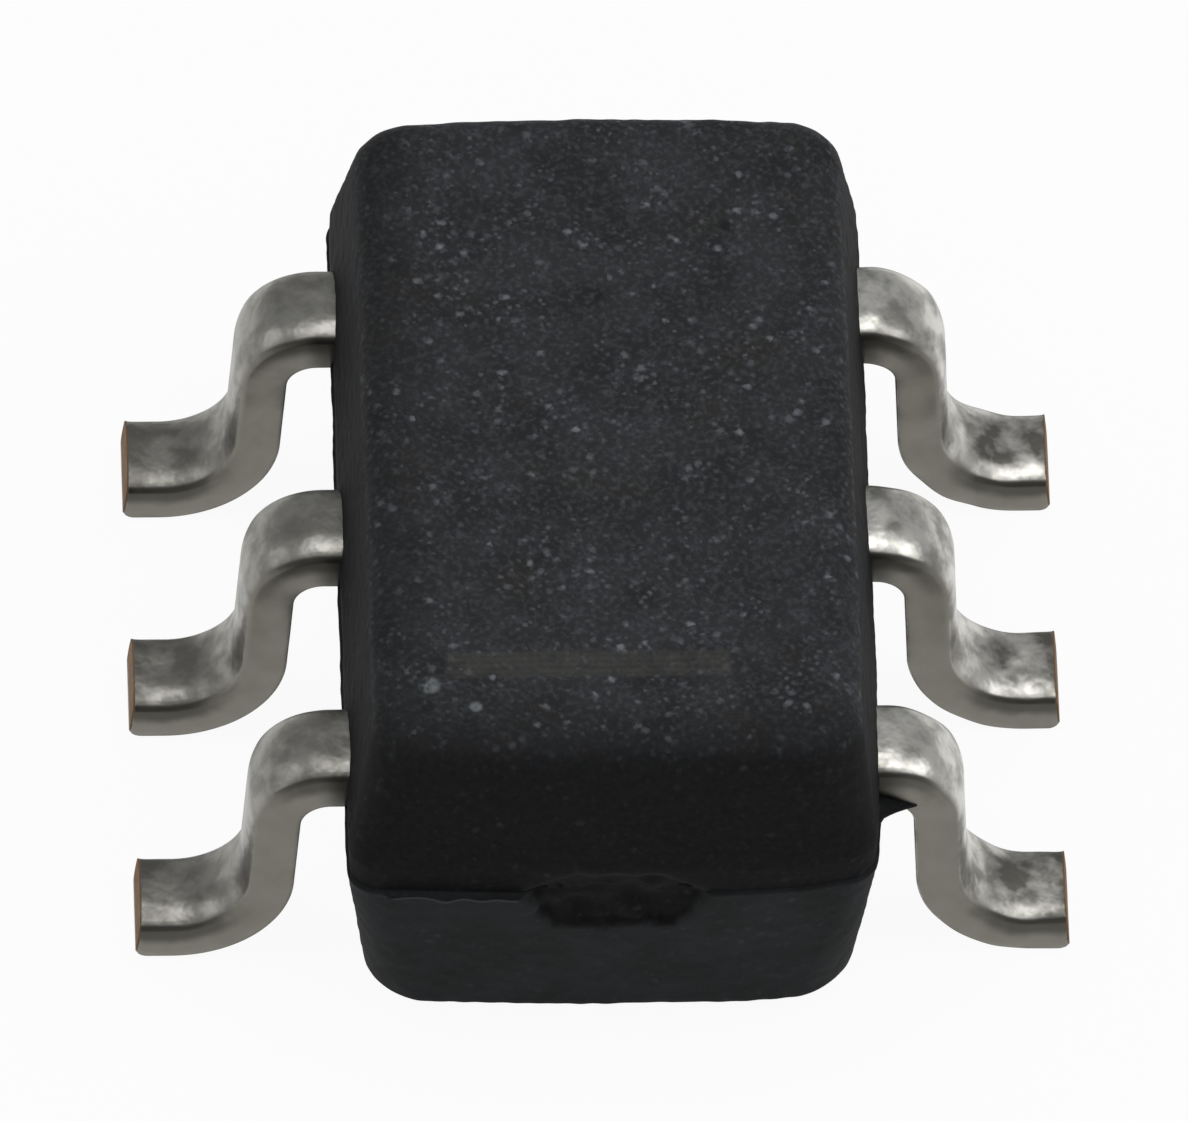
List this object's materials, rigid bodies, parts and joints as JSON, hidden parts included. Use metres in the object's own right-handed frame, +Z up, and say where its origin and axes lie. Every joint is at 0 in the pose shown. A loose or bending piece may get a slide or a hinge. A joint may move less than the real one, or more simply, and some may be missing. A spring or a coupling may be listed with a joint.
{
  "type": "current sense amplifier chip",
  "caption": "Small surface-mount integrated circuit: a drafted black moulding with gull-wing leads along both long sides, and a die, pad and bond wires inside.",
  "frame": {"origin": "on the seating plane, midway between the feet, at the centre of the bounding box's underside", "axes": "+X across the leads, towards pins 1 to 3; +Y along the moulding, away from the pin 1 end; +Z up, away from the board"},
  "size_m": [0.0022, 0.002, 0.001],
  "materials": {
    "mould_compound": "filled epoxy moulding compound, finely rough from the mould, with a faint laser bar",
    "plated_lead": "matte tin plating over copper alloy, bare copper on the cut ends",
    "silver_epoxy": "cured silver-filled adhesive",
    "silicon": "polished silicon with a passivated circuit face",
    "gold_wire": "bare gold"
  },
  "bodies": {
    "root": {"moulded_body": "mould_compound", "lead_1": "plated_lead", "lead_2_die_pad": "plated_lead", "lead_3": "plated_lead", "lead_4": "plated_lead", "lead_5": "plated_lead", "lead_6": "plated_lead", "die_attach": "silver_epoxy", "silicon_die": "silicon", "bond_wire_1": "gold_wire", "bond_wire_2": "gold_wire", "bond_wire_3": "gold_wire", "bond_wire_4": "gold_wire", "bond_wire_5": "gold_wire", "bond_wire_6": "gold_wire"}
  },
  "joints": []
}
